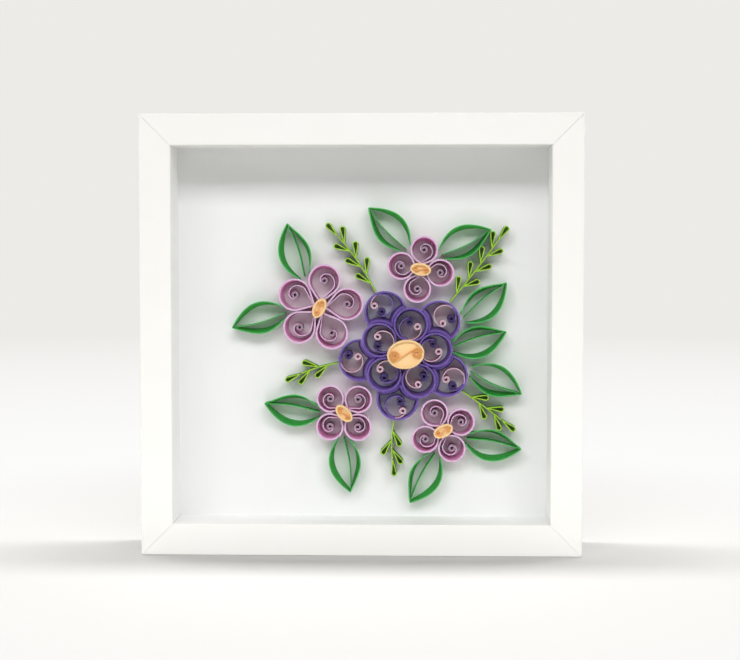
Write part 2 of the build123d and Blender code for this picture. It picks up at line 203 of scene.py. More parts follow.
def soft_lamp(name, place, target, width, depth, watts):
    """Rectangular lamp at a place, turned to a target."""
    data = bpy.data.lights.new(name, "AREA")
    data.shape = "RECTANGLE"
    data.size = width
    data.size_y = depth
    data.energy = watts
    lamp = bpy.data.objects.new(name, data)
    lamp.location = place
    lamp.rotation_euler = (Vector(target) - Vector(place)).to_track_quat("-Z", "Y").to_euler()
    scene.collection.objects.link(lamp)
    print(name, watts, "W")
    return lamp


frame_middle = [(low + high) / 2 for low, high in zip(*cad_box)]
soft_lamp("front_lamp", (0.0, -4.0, 3.4), frame_middle, width=7.2, depth=1.5, watts=208.0)
top_lamp = soft_lamp("top_lamp", (0.0, 0.1, 1.1), (0.0, 0.1, 0.0), width=0.9, depth=0.14, watts=17.0)
back_lamp = soft_lamp("back_lamp", (1.2, 1.6, 0.7), frame_middle, width=1.0, depth=0.6, watts=25.0)

# %% Floor
def away_from_frame(tree, near, far, interpolation):
    """Output that runs from 0 to 1 between two distances from the frame, in metres."""
    place = add(tree, "ShaderNodeTexCoord")
    away = add(tree, "ShaderNodeVectorMath", {0: place.outputs["Object"]}, operation="LENGTH")
    share = add(
        tree,
        "ShaderNodeMapRange",
        {"Value": away.outputs["Value"]},
        {"From Min": near, "From Max": far},
        interpolation_type=interpolation,
    )
    return share.outputs[0]


floor_material, floor_tree, floor_shader = new_material("white_paper_sweep", {"Roughness": 0.9})
seen = seen_rays(floor_tree)
# The eye sees white paper. The light that rises to the frame comes from a sheet that is paler close to
# the frame than farther off, which lifts the lowest rail towards the white of the others.
near_frame = away_from_frame(floor_tree, near=0.15, far=0.4, interpolation="LINEAR")
bounce = blend(floor_tree, near_frame, "#c4c3c1", "#a0a09e")
sheet = add(
    floor_tree,
    "ShaderNodeMix",
    {"Factor": seen, "A": bounce},
    {"B": linear("#b9b8b6")},
    data_type="RGBA",
)
floor_tree.links.new(sheet.outputs["Result"], floor_shader.inputs["Base Color"])
# Away from the frame the floor glows in the tone of the background, which hides the horizon.
to_background = away_from_frame(floor_tree, near=0.3, far=2.2, interpolation="LINEAR")
tone = blend(floor_tree, to_background, "#fdfdfc", BACKGROUND)
glow = add(floor_tree, "ShaderNodeEmission", {"Color": tone}, {"Strength": 1.0})
to_glow = away_from_frame(floor_tree, near=0.16, far=0.45, interpolation="SMOOTHSTEP")
fade = add(floor_tree, "ShaderNodeMath", {0: to_glow, 1: seen}, operation="MULTIPLY")
lay_over(floor_tree, floor_shader, glow, fade.outputs[0])
FLOOR = 4.0
corners = [(-FLOOR, -FLOOR, 0), (FLOOR, -FLOOR, 0), (FLOOR, FLOOR, 0), (-FLOOR, FLOOR, 0)]
floor_mesh = bpy.data.meshes.new("floor")
floor_mesh.from_pydata(corners, [], [(0, 1, 2, 3)])
floor_mesh.materials.append(floor_material)
floor = bpy.data.objects.new("floor", floor_mesh)
scene.collection.objects.link(floor)
# The lamp overhead would burn out the white top of the frame, so only the floor receives its light.
# The lamp behind would draw a second shadow, so all but the floor receive its light.
for lamp, state in ((top_lamp, "INCLUDE"), (back_lamp, "EXCLUDE")):
    receivers = bpy.data.collections.new(f"{lamp.name}_receivers")
    receivers.objects.link(floor)
    receivers.collection_objects[0].light_linking.link_state = state
    lamp.light_linking.receiver_collection = receivers
print("floor", 2 * FLOOR, "m wide")

# %% [markdown]
# ## Painted rails
# The rails are wood fibre moulding with a white satin lacquer. Lacquer is nearly flat, with a faint
# orange peel and a slightly warm white. The chamfered solids already have the crisp edges and the
# fine open mitres that the photograph shows, so the nodes stay and only their finish changes.

# %% White satin lacquer
def mottle(tree, size_mm, detail, roughness=0.5):
    """Output of a noise that is fixed to the object, with blots of a size in millimetres."""
    place = add(tree, "ShaderNodeTexCoord").outputs["Object"]
    values = {"Scale": 1 / (size_mm * MM), "Detail": detail, "Roughness": roughness}
    return add(tree, "ShaderNodeTexNoise", {"Vector": place}, values).outputs[0]


def roughen(tree, shader, height, strength, depth_mm):
    """Give a shader the relief of a height output, with a depth in millimetres."""
    values = {"Strength": strength, "Distance": depth_mm * MM}
    bump = add(tree, "ShaderNodeBump", {"Height": height}, values)
    tree.links.new(bump.outputs[0], shader.inputs["Normal"])


lacquer, tree, shader = new_material("white_satin_lacquer", {"Roughness": 0.42, "IOR": 1.5})
# Handling leaves broad, barely warmer patches of about 60 mm.
patch = mottle(tree, 60, detail=2.0)
tree.links.new(blend(tree, patch, "#f9f8f5", "#f6f5f0"), shader.inputs["Base Color"])
# Sprayed lacquer levels out in waves of about 4 mm.
roughen(tree, shader, mottle(tree, 4, detail=3.0), strength=0.25, depth_mm=0.05)


def finish(material, *names):
    """Give CAD nodes that stay a better finish."""
    for name in names:
        mesh = nodes[name].data
        mesh.materials.clear()
        mesh.materials.append(material)
    print(material.name, "on", len(names))


finish(lacquer, "top_rail", "right_rail", "bottom_rail", "left_rail")

# %% [markdown]
# ## Pane, spacers and card
# The pane is 2 mm float glass. Real glass shaders cast dark shadows unless light is traced through
# them, so the pane is an almost open surface instead. What is left of it is dark and glossy: a pale
# one would lie over the paper as a haze and wash out its deep shades.
# The spacers and the card are white board, and a fine paper tooth keeps them from looking like
# plastic.

# %% Clear pane
glass_values = {"Base Color": linear("#1c2825"), "Roughness": 0.03, "IOR": 1.5, "Alpha": 0.02}
finish(new_material("clear_float_glass", glass_values)[0], "front_pane")


# %% White board for spacers and card
def board(name, light, dark, tooth_mm, depth_mm):
    """White paper board with a fine tooth and cloudy fibre."""
    material, tree, shader = new_material(name, {"Roughness": 0.85, "IOR": 1.45})
    # Clouds of denser fibre are about 12 mm across.
    cloud = mottle(tree, 12, detail=2.0)
    tree.links.new(blend(tree, cloud, light, dark), shader.inputs["Base Color"])
    tooth = mottle(tree, tooth_mm, detail=4.0, roughness=0.65)
    roughen(tree, shader, tooth, strength=0.3, depth_mm=depth_mm)
    return material


foam_board = board("white_faced_foam_board", "#fcfcfb", "#f9f9f8", tooth_mm=0.5, depth_mm=0.02)
watercolour_card = board("white_watercolour_card", "#fafafa", "#f7f7f7", tooth_mm=0.9, depth_mm=0.05)
finish(foam_board, "spacer_strips")
finish(watercolour_card, "art_card")

# %% [markdown]
# ## Where the flowers stand
# The spray follows one rule. Five whole violet coils ring the middle, five larger ones tuck behind
# them, and each free valley of that ring takes a lilac flower or a fan of leaves. Points on the card
# are complex numbers here, in millimetres from the card's middle: adding moves them, and multiplying
# by a unit number turns them, which suits rings and spirals well.

# %% Layout of the spray
# Sizes are in millimetres, and turns are in degrees.
PAPER = 0.5
PETAL_GAP = 0.3
VIOLET_PETALS = 5
VIOLET_INNER_RADIUS = 10.0
VIOLET_OUTER_RADIUS = 12.3
VIOLET_TUCK = 6.0
LEAF_LENGTH = 32.0
LEAF_WIDTH = 18.0
LEAF_BASE = 6.0
STEM_BARE = 6.0
LOOP_PITCH = 5.5
LOOP_LENGTH = 10.5
SPRAY_TURN = 8.0
SPRAY_MARGIN = 5.0
WINDOW_HALF = 107.75
# How many petals each lilac flower has, and the radius of their round ends.
LILAC_FLOWERS = {"upper": (4, 8.0), "left": (5, 9.4), "lower_left": (4, 8.0), "lower_right": (4, 8.0)}
# How many loops the sprigs between the flowers have, and those beside the fan of leaves.
SPRIG_LOOPS = (7, 4, 4)
RIGHT_LOOPS = (5, 8)


def turn(angle):
    """Unit number that points at an angle in degrees."""
    return cmath.rect(1.0, radians(angle))


half_pitch = pi / VIOLET_PETALS
petal_step = 360 / VIOLET_PETALS
inner_orbit = (VIOLET_INNER_RADIUS + PETAL_GAP / 2) / sin(half_pitch)
tucked = VIOLET_INNER_RADIUS + VIOLET_OUTER_RADIUS - VIOLET_TUCK
outer_orbit = inner_orbit * cos(half_pitch) + sqrt(tucked**2 - (inner_orbit * sin(half_pitch)) ** 2)
violet_reach = outer_orbit + VIOLET_OUTER_RADIUS
valley_reach = inner_orbit + VIOLET_INNER_RADIUS


def lilac_orbit(petals, radius):
    """Distance of a lilac petal's round end from its flower's middle."""
    return (radius + PETAL_GAP / 2) / sin(pi / petals)


def lilac_distance(petals, radius):
    """Distance at which a lilac flower nests in a valley of the violet one."""
    reach = lilac_orbit(petals, radius) + radius
    across = outer_orbit * sin(half_pitch)
    apart = reach + VIOLET_OUTER_RADIUS + PETAL_GAP
    nested = outer_orbit * cos(half_pitch) + sqrt(apart**2 - across**2)
    return max(nested, valley_reach + PETAL_GAP + reach)


def lilac_valley(petals, radius):
    """Distance at which a leaf's open base fits between two lilac petals."""
    orbit = lilac_orbit(petals, radius)
    across = orbit * sin(pi / petals) - LEAF_BASE / 2
    return orbit * cos(pi / petals) + sqrt((radius + PETAL_GAP) ** 2 - across**2)


lowest = LILAC_FLOWERS["lower_right"]
lower_reach = lilac_distance(*lowest) * sin(radians(petal_step - SPRAY_TURN))
lower_reach += lilac_valley(*lowest) + LEAF_LENGTH
right_reach = violet_reach + STEM_BARE + (RIGHT_LOOPS[0] - 1) * LOOP_PITCH + LOOP_LENGTH
violet = complex(WINDOW_HALF - SPRAY_MARGIN - right_reach, lower_reach - WINDOW_HALF + SPRAY_MARGIN)
print("violet flower at", violet, "mm, reach", round(violet_reach, 1))

# %% [markdown]
# ## A strip of paper on edge
# Every coil is a strip of paper that stands on its long edge along some path, so one Geometry Nodes
# tree makes them all. It takes a line of edges, sweeps a thin upright rectangle along it, lets the
# top edge wander a little as glued paper does, and stands the result on the card. The curve's normals
# are set to Z Up first, so that the rectangle stays upright in every bend. Where a coil flares, each
# point of its path carries a small vector by which the foot of the strip moves in.

# %% Geometry Nodes tree for a paper strip
WAVES_PER_METRE = 150.0
# Edges that bend by more than this, in radians, stay crisp.
FOLD_ANGLE = 0.6

card_low, card_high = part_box("art_card")
card_front = card_low.y
card_middle = (card_low.z + card_high.z) / 2

strip_tree = bpy.data.node_groups.new("paper_strip", "GeometryNodeTree")
sockets = {}
for name, kind in (
    ("Path", "NodeSocketGeometry"),
    ("Strip Width", "NodeSocketFloat"),
    ("Thickness", "NodeSocketFloat"),
    ("Level", "NodeSocketFloat"),
    ("Wander", "NodeSocketFloat"),
    ("Seed", "NodeSocketFloat"),
    ("Paper", "NodeSocketMaterial"),
):
    item = strip_tree.interface.new_socket(name, in_out="INPUT", socket_type=kind)
    sockets[name] = item.identifier
strip_tree.interface.new_socket("Strip", in_out="OUTPUT", socket_type="NodeSocketGeometry")
given = add(strip_tree, "NodeGroupInput").outputs
line = add(strip_tree, "GeometryNodeMeshToCurve", {"Mesh": given["Path"]})
upright = add(strip_tree, "GeometryNodeSetCurveNormal", {"Curve": line.outputs[0]}, mode="Z_UP")
section = add(
    strip_tree,
    "GeometryNodeCurvePrimitiveQuadrilateral",
    {"Width": given["Thickness"], "Height": given["Strip Width"]},
)
sweep = add(
    strip_tree,
    "GeometryNodeCurveToMesh",
    {"Curve": upright.outputs[0], "Profile Curve": section.outputs[0]},
    {"Fill Caps": True},
)
# The top edge sinks by a slow noise along the strip; the foot stays flat on the card.
spot = add(strip_tree, "GeometryNodeInputPosition").outputs[0]
height = add(strip_tree, "ShaderNodeSeparateXYZ", {0: spot}).outputs["Z"]
top = add(strip_tree, "FunctionNodeCompare", {"A": height}, {"B": 0.0}, operation="GREATER_THAN")
wave = add(
    strip_tree,
    "ShaderNodeTexNoise",
    {"Vector": spot, "W": given["Seed"]},
    {"Scale": WAVES_PER_METRE, "Detail": 1.0},
    noise_dimensions="4D",
)
sag = add(strip_tree, "ShaderNodeMath", {0: wave.outputs[0], 1: given["Wander"]}, operation="MULTIPLY")
sag = add(strip_tree, "ShaderNodeMath", {0: sag.outputs[0]}, {1: -1.0}, operation="MULTIPLY")
down = add(strip_tree, "ShaderNodeCombineXYZ", {"Z": sag.outputs[0]})
worn = add(
    strip_tree,
    "GeometryNodeSetPosition",
    {"Geometry": sweep.outputs[0], "Selection": top.outputs[0], "Offset": down.outputs[0]},
)
# Where the path carries no lean, the foot stays where it is.
lean = add(
    strip_tree, "GeometryNodeInputNamedAttribute", values={"Name": "lean"}, data_type="FLOAT_VECTOR"
)
foot = add(strip_tree, "FunctionNodeCompare", {"A": height}, {"B": 0.0}, operation="LESS_THAN")
flared = add(
    strip_tree,
    "GeometryNodeSetPosition",
    {"Geometry": worn.outputs[0], "Selection": foot.outputs[0], "Offset": lean.outputs[0]},
)
half = add(strip_tree, "ShaderNodeMath", {0: given["Strip Width"]}, {1: 0.5}, operation="MULTIPLY")
lift = add(strip_tree, "ShaderNodeMath", {0: half.outputs[0], 1: given["Level"]}, operation="ADD")
raised = add(strip_tree, "ShaderNodeCombineXYZ", {"Z": lift.outputs[0]})
lifted = add(
    strip_tree,
    "GeometryNodeSetPosition",
    {"Geometry": flared.outputs[0], "Offset": raised.outputs[0]},
)
stood = add(
    strip_tree,
    "GeometryNodeTransform",
    {"Geometry": lifted.outputs[0]},
    {"Translation": (0.0, card_front, card_middle), "Rotation": (pi / 2, 0.0, 0.0)},
)
smooth = add(strip_tree, "GeometryNodeSetShadeSmooth", {"Geometry": stood.outputs[0]})
bend = add(strip_tree, "GeometryNodeInputMeshEdgeAngle")
fold = add(
    strip_tree,
    "FunctionNodeCompare",
    {"A": bend.outputs[0]},
    {"B": FOLD_ANGLE},
    operation="GREATER_THAN",
)
crisp = add(
    strip_tree,
    "GeometryNodeSetShadeSmooth",
    {"Geometry": smooth.outputs[0], "Selection": fold.outputs[0]},
    {"Shade Smooth": False},
    domain="EDGE",
)
whole = add(strip_tree, "GeometryNodeRealizeInstances", {"Geometry": crisp.outputs[0]})
papered = add(
    strip_tree, "GeometryNodeSetMaterial", {"Geometry": whole.outputs[0], "Material": given["Paper"]}
)
add(strip_tree, "NodeGroupOutput", {"Strip": papered.outputs[0]})
print("paper strip tree with", len(strip_tree.nodes), "nodes")

# %% [markdown]
# ## Coloured paper
# Quilling paper is uncoated stock dyed through: matt, with short fibres that show as faint mottling,
# and a cut edge with a colour of its own, partly painted light: on most papers the edge is paler
# than the wall, a painted highlight where the rims catch the light, and on the lime paper the wall
# is a much darker green than the edge, painted shade inside the loops. The edge is found by its
# direction, because every cut edge faces the front of the frame. A single strip also lets some light
# through, and that light takes the dye's colour: it is what fills the coils with tinted shade.

# %% Quilling papers
CUT_FACING = -0.7


def quilling_paper(dye, wall, fleck, edge, glow, through):
    """Matt dyed paper: wall flecked by fibre, and a cut edge coloured partly as painted light.

    Glow is the tint of the light that the wall lets through, and through is that light's share.
    """
    surface = {"Roughness": 0.72, "IOR": 1.45, "Sheen Weight": 0.05}
    material, tree, shader = new_material(f"{dye}_quilling_paper", surface)
    # Fibres are 0.1 mm wide; they are drawn at 0.7 mm so that they show.
    fibre = mottle(tree, 0.7, detail=3.0, roughness=0.6)
    roughen(tree, shader, fibre, strength=0.35, depth_mm=0.04)
    normal = add(tree, "ShaderNodeTexCoord").outputs["Normal"]
    facing = add(tree, "ShaderNodeSeparateXYZ", {0: normal}).outputs["Y"]
    cut = add(tree, "ShaderNodeMath", {0: facing}, {1: CUT_FACING}, operation="LESS_THAN").outputs[0]
    # The cut edge's own colour also carries a painted highlight on the rims of most papers.
    paper_colour_with_painted_light = add(
        tree,
        "ShaderNodeMix",
        {"Factor": cut, "A": blend(tree, fibre, wall, fleck)},
        {"B": linear(edge)},
        data_type="RGBA",
    )
    tree.links.new(paper_colour_with_painted_light.outputs["Result"], shader.inputs["Base Color"])
    # Light goes through the wall and not along it, so the cut edge only reflects.
    passed = add(tree, "ShaderNodeBsdfTranslucent", values={"Color": linear(glow)})
    share = add(tree, "ShaderNodeMath", {0: cut}, {1: -through, 2: through}, operation="MULTIPLY_ADD")
    lay_over(tree, shader, passed, share.outputs[0])
    return material


# Each call gives dye, wall, fleck, cut edge, glow and share; the paler cut edges are partly painted
# highlight.
violet_paper = quilling_paper("violet", "#9271c4", "#9d7ecc", "#7358ac", "#c4b1e8", 0.45)
# The eye of the violet half is painted far darker than its strip: painted shade in the tight roll.
violet_eye_painted_shade_paper = quilling_paper("deep_violet", "#3a2563", "#45306f", "#44326c", "#5a4688", 0.2)
blush_paper = quilling_paper("blush", "#dc9cba", "#e3abc6", "#e3bfd0", "#f0cfdd", 0.45)
lilac_paper = quilling_paper("lilac", "#ecb3d9", "#f0bfe0", "#e2c1e2", "#f7d5ec", 0.5)
# The lilac eyes are drawn in a darker, greyer colour than the lilac strip that they end.
lilac_eye_darker_paper = quilling_paper("mauve", "#a5809a", "#b08da5", "#b497ae", "#c8abbf", 0.3)
peach_paper = quilling_paper("peach", "#ffd9a2", "#ffe0b0", "#ffdba0", "#ffd9a0", 0.2)
apricot_paper = quilling_paper("apricot", "#f09e58", "#f4ab68", "#f3ab60", "#f9ba74", 0.2)
leaf_paper = quilling_paper("leaf_green", "#22933c", "#2f9f4a", "#47b557", "#93e58e", 0.44)
# The lime wall is painted much darker than its cut edge: painted shade inside the narrow loops.
lime_paper = quilling_paper("lime", "#4f8a10", "#5c9a18", "#a3d634", "#b4de44", 0.3)
papers = [material.name for material in bpy.data.materials if "quilling" in material.name]
print("papers", len(papers))

# %% [markdown]
# ## From a path to a piece
# A path is a list of points. The helper below writes the paths of one piece as edges, hangs the strip
# tree on them, and keeps the result as a plain mesh, so nothing live is left on the piece. Arcs and
# spirals are sampled finely enough that no flat shows.

# %% Paths and the strip maker
STEP = 0.45
TURN_PITCH = 0.5
EYE_PITCH = 0.62
EYE_HOLE = 0.8
STRIP_PAPER = 0.44
WANDER = 0.35
# Strips inside a coil or a leaf end a little short of its rim.
INNER_SHORT = 0.3
BLUSH_SHORT = 0.4
EYE_SHORT = 0.5
# Each piece takes the next seed for the wander of its top edge.
seeds = iter(range(1, 1000))


def arc(centre, radius, start, sweep):
    """Points of an arc, from one angle through a sweep in degrees."""
    count = max(2, ceil(abs(radians(sweep)) * radius / STEP))
    return [centre + radius * turn(start + sweep * i / count) for i in range(count + 1)]


def spiral(centre, first, last, start, sweep):
    """Points of a spiral whose radius runs from first to last."""
    count = max(2, ceil(abs(radians(sweep)) * max(first, last) / STEP))
    points = []
    for i in range(count + 1):
        share = i / count
        points.append(centre + (first + (last - first) * share) * turn(start + sweep * share))
    return points


def eye(centre, radius, start, way):
    """Tight roll from its outer turn to its hole, turning one way: 1 left, -1 right."""
    turns = (radius - EYE_HOLE) / EYE_PITCH
    return spiral(centre, radius, EYE_HOLE, start, way * 360 * turns)


def foot_moves(path, leans):
    """Vectors that move a strip's foot to the left of its path by an amount at each point."""
    moves = []
    for i, lean in enumerate(leans):
        along = path[(i + 1) % len(path)] - path[i - 1]
        move = 1j * along / abs(along) * lean * MM
        moves += [move.real, move.imag, 0.0]
    return moves


def rolled(
    name,
    paths,
    paper,
    node,
    short=0.0,
    floor=0.0,
    thickness=STRIP_PAPER,
    closed=False,
    leans=None,
):
    """Piece of paper strips on edge along paths in millimetres, for one node of the frame.

    The strips stand on the node's own foot, or on a floor above it, and come up to the node's front,
    or a little short of it. Leans give, for each point, how far the foot moves in to the left.
    """
    low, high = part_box(node)
    points = []
    edges = []
    for path in paths:
        first = len(points)
        points += [(p.real * MM, p.imag * MM, 0.0) for p in path]
        edges += [(i, i + 1) for i in range(first, len(points) - 1)]
        if closed:
            edges.append((len(points) - 1, first))
    mesh = bpy.data.meshes.new(name)
    mesh.from_pydata(points, edges, [])
    if leans:
        moves = [value for path, lean in zip(paths, leans) for value in foot_moves(path, lean)]
        mesh.attributes.new("lean", "FLOAT_VECTOR", "POINT").data.foreach_set("vector", moves)
    piece = bpy.data.objects.new(name, mesh)
    scene.collection.objects.link(piece)
    strip = piece.modifiers.new("paper_strip", "NODES")
    strip.node_group = strip_tree
    strip[sockets["Strip Width"]] = high.y - low.y - (short + floor) * MM
    strip[sockets["Thickness"]] = thickness * MM
    strip[sockets["Level"]] = card_front - high.y + floor * MM
    strip[sockets["Wander"]] = WANDER * MM
    strip[sockets["Seed"]] = float(next(seeds))
    strip[sockets["Paper"]] = paper
    made = bpy.data.meshes.new_from_object(piece.evaluated_get(bpy.context.evaluated_depsgraph_get()))
    piece.modifiers.clear()
    piece.data = made
    made.name = name
    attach(piece, "root")
    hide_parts(node)


print("strip maker ready, step", STEP, "mm")

# %% [markdown]
# ## Violet petals
# Each violet petal is a strip wound twice round a form, with a C scroll inside that is glued to one
# side. One half of the scroll is violet and ends in a tight roll painted a much darker violet, painted
# shade for the roll, and the other is blush. The coil stands upright where the scroll is glued and
# flares like a shallow bowl on its free side. The inner five are whole rings. The outer five are
# pressed against two neighbours, so their outline is found by casting rays from the middle of their
# scroll to whichever wall comes first.

# %% Inner and outer violet petals
INNER_SCROLL_ROOM = 3.2
OUTER_SCROLL_ROOM = 1.5
SCROLL_OPENING = 84.0
SCROLL_SEAM = 4.0
DARK_EYE = 2.4
PALE_EYE = 2.0
INNER_LEAN = 24.0
OUTER_LEAN = 70.0
WALL_TURNS = 2
WALL = WALL_TURNS * TURN_PITCH
FLARE = 1.8
RAYS = 180


def flare(path, centre, upright):
    """Lean of a coil that stands upright on one side, given as an angle, and flares on the other."""
    return [FLARE * (1 - cos(cmath.phase(point - centre) - radians(upright))) / 2 for point in path]


def scroll(petal, edge, radius, contact, lean):
    """Paths of a petal's C scroll: the violet half, its eye in painted shade, and the blush half."""
    middle = petal + (edge - radius) * turn(contact)
    opening = contact + 180 + lean
    first = opening + SCROLL_OPENING / 2 - 360
    last = opening - SCROLL_OPENING / 2
    dark = arc(middle, radius, contact, first - contact)
    dark_eye = eye(middle + (radius - DARK_EYE) * turn(first), DARK_EYE, first, -1)
    pale = arc(middle, radius, contact + SCROLL_SEAM, last - contact - SCROLL_SEAM)
    pale += eye(middle + (radius - PALE_EYE) * turn(last), PALE_EYE, last, 1)[1:]
    return dark, dark_eye, pale


inner_petals = []
for i in range(VIOLET_PETALS):
    heading = SPRAY_TURN + petal_step * i
    petal = violet + inner_orbit * turn(heading)
    inner_petals.append(petal)
    name = f"violet_inner_petal_{i + 1}"
    contact = heading + 180
    rim = VIOLET_INNER_RADIUS - PAPER / 2
    rims = [arc(petal, rim - TURN_PITCH * k, contact, 360)[:-1] for k in range(WALL_TURNS)]
    leans = [flare(path, petal, contact) for path in rims]
    radius = VIOLET_INNER_RADIUS - INNER_SCROLL_ROOM - WALL / 2
    dark, dark_eye, pale = scroll(petal, rim - WALL, radius, contact, INNER_LEAN * (-1) ** i)
    rolled(f"{name}_wall", rims, violet_paper, name, closed=True, leans=leans)
    rolled(f"{name}_dark_scroll", [dark], violet_paper, name, short=INNER_SHORT)
    rolled(f"{name}_eye", [dark_eye], violet_eye_painted_shade_paper, name, short=EYE_SHORT)
    rolled(f"{name}_scroll", [pale], blush_paper, name, short=BLUSH_SHORT)


def ray_to_circle(start, way, centre, radius):
    """Distance along a ray to a circle that the ray starts outside of, or no end."""
    ahead = ((centre - start) * way.conjugate()).real
    aside = abs(((centre - start) * way.conjugate()).imag)
    if ahead <= 0 or aside >= radius:
        return inf
    return ahead - sqrt(radius**2 - aside**2)


def pressed_outline(petal, radius, inset, neighbours, start):
    """Closed outline of a round coil that two neighbours press in, moved in by an inset."""
    outline = []
    for i in range(RAYS):
        way = turn(360 / RAYS * i)
        across = (start - petal) * way.conjugate()
        free = sqrt((radius - inset) ** 2 - across.imag**2) - across.real
        for neighbour in neighbours:
            clear = VIOLET_INNER_RADIUS + PETAL_GAP + inset
            free = min(free, ray_to_circle(start, way, neighbour, clear))
        outline.append(start + free * way)
    return outline


round_end = outer_orbit + VIOLET_OUTER_RADIUS - PAPER / 2 - inner_orbit * cos(half_pitch)
pressed = VIOLET_INNER_RADIUS + PETAL_GAP + PAPER * 3 / 2
room = (round_end**2 + (inner_orbit * sin(half_pitch)) ** 2 - pressed**2) / (2 * (round_end + pressed))
outer_scroll = room - OUTER_SCROLL_ROOM - WALL / 2
for i in range(VIOLET_PETALS):
    heading = SPRAY_TURN + petal_step * (i + 0.5)
    petal = violet + outer_orbit * turn(heading)
    neighbours = (inner_petals[i], inner_petals[(i + 1) % VIOLET_PETALS])
    name = f"violet_outer_petal_{i + 1}"
    inside = petal + (VIOLET_OUTER_RADIUS - room) * turn(heading)
    rims = [
        pressed_outline(petal, VIOLET_OUTER_RADIUS, PAPER / 2 + TURN_PITCH * k, neighbours, inside)
        for k in range(WALL_TURNS)
    ]
    edge = VIOLET_OUTER_RADIUS - PAPER / 2 - WALL
    dark, dark_eye, pale = scroll(petal, edge, outer_scroll, heading, OUTER_LEAN * (-1) ** i)
    leans = [flare(path, inside, heading) for path in rims]
    rolled(f"{name}_wall", rims, violet_paper, name, closed=True, leans=leans)
    rolled(f"{name}_dark_scroll", [dark], violet_paper, name, short=INNER_SHORT)
    rolled(f"{name}_eye", [dark_eye], violet_eye_painted_shade_paper, name, short=EYE_SHORT)
    rolled(f"{name}_scroll", [pale], blush_paper, name, short=BLUSH_SHORT)
print("violet petals", 2 * VIOLET_PETALS)

# %% [markdown]
# ## Lilac petals
# A lilac petal is a teardrop: a round coil pinched at one end. Inside, the strip leaves the tip along
# one flank and winds in to one tight eye, drawn in a darker and greyer colour than the strip. The curl
# is a logarithmic spiral, which shrinks by the same share with every degree that it turns, so it
# closes in smoothly from the flank to the eye.

# %% Lilac flowers
LILAC_TIP = 2.5
LILAC_EYE = 2.0
LILAC_ARM_ROOM = 2.0
LILAC_ARM_TURN = 240.0
CURL_FOOT = 1.6
CURL_POINTS = 60
FLANK_POINTS = 8


def teardrop(tip, centre, radius, inset):
    """Closed outline from a sharp tip round a coil, moved in by an inset."""
    axis = centre - tip
    heading = degrees(cmath.phase(axis))
    flank = degrees(asin(radius / abs(axis)))
    inner_tip = tip + inset / sin(radians(flank)) * turn(heading)
    bulb = arc(centre, radius - inset, heading - 90 - flank, 180 + 2 * flank)
    # Straight flanks need fewer points than the round end.
    count = ceil(abs(bulb[0] - inner_tip) / (3 * STEP))
    leave = [inner_tip + (bulb[0] - inner_tip) * i / count for i in range(count)]
    back = [bulb[-1] + (inner_tip - bulb[-1]) * i / count for i in range(1, count)]
    return leave + bulb + back


def lilac_petal(flower, heading, orbit, radius, side, node):
    """Teardrop petal of two turns with its curl and eye."""
    tip = flower + LILAC_TIP * turn(heading)
    bulb = flower + orbit * turn(heading)
    walls = [teardrop(tip, bulb, radius, PAPER / 2 + TURN_PITCH * k) for k in range(WALL_TURNS)]
    arm_radius = radius - LILAC_ARM_ROOM - WALL / 2
    start = 90 - degrees(asin(arm_radius / (orbit - LILAC_TIP)))
    foot = tip + CURL_FOOT * turn(heading)
    curl = []
    for i in range(CURL_POINTS + 1):
        share = i / CURL_POINTS
        winding = arm_radius * (LILAC_EYE / arm_radius) ** share
        curl.append(bulb + winding * turn(heading + 180 + side * (start + LILAC_ARM_TURN * share)))
    flank = [foot + (curl[0] - foot) * i / FLANK_POINTS for i in range(FLANK_POINTS)]
    last = heading + 180 + side * (start + LILAC_ARM_TURN)
    leans = [flare(path, bulb, heading + 180) for path in walls]
    rolled(f"{node}_wall", walls, lilac_paper, node, closed=True, leans=leans)
    rolled(f"{node}_curl", [flank + curl], lilac_paper, node, short=INNER_SHORT)
    tight = eye(bulb, LILAC_EYE, last, side)
    rolled(f"{node}_eye", [tight], lilac_eye_darker_paper, node, short=EYE_SHORT)


lilac_sites = {}
for place, (site, (petals, radius)) in enumerate(LILAC_FLOWERS.items(), start=1):
    outward = SPRAY_TURN + petal_step * place
    flower = violet + lilac_distance(petals, radius) * turn(outward)
    lilac_sites[site] = (flower, outward)
    for i in range(petals):
        node = f"{site}_lilac_petal_{i + 1}"
        heading = outward + 360 / petals * i
        lilac_petal(flower, heading, lilac_orbit(petals, radius), radius, (-1) ** i, node)
print("lilac flowers", len(lilac_sites))

# %% [markdown]
# ## Peach centres
# Each flower's middle is an oval coil on a stack of small paper discs, with an S strip on top whose
# two ends are rolled. The coil is an ellipse that shrinks by one paper pitch a turn. The discs are
# plain mesh code, because a flat sheet follows no path; each is a little out of line with the last.

# %% Oval centres
CENTRE_SEAT = 1.2
CENTRE_OVAL = 2.4
CENTRE_WELL = 1.5
CENTRE_TURNS = 2
OVAL_POINTS = 90
VIOLET_CENTRE_EYE = 3.0
LILAC_CENTRE_EYE = 1.5
S_STRIP_SHORT = 0.2
DISCS = 4
DISC_POINTS = 72
DISC_INSET = 0.15
DISC_SHIFT = 0.08
DISC_TURN = 137
DISC_GAP = 0.05


def oval_turns(flower, long_half, short_half, heading):
    """Path of an oval coil that shrinks by one pitch a turn."""
    count = CENTRE_TURNS * OVAL_POINTS
    path = []
    for i in range(count + 1):
        angle = 2 * pi * CENTRE_TURNS * i / count
        inset = PAPER / 2 + TURN_PITCH * CENTRE_TURNS * i / count
        spot = complex((long_half - inset) * cos(angle), (short_half - inset) * sin(angle))
        path.append(flower + spot * turn(heading))
    return path


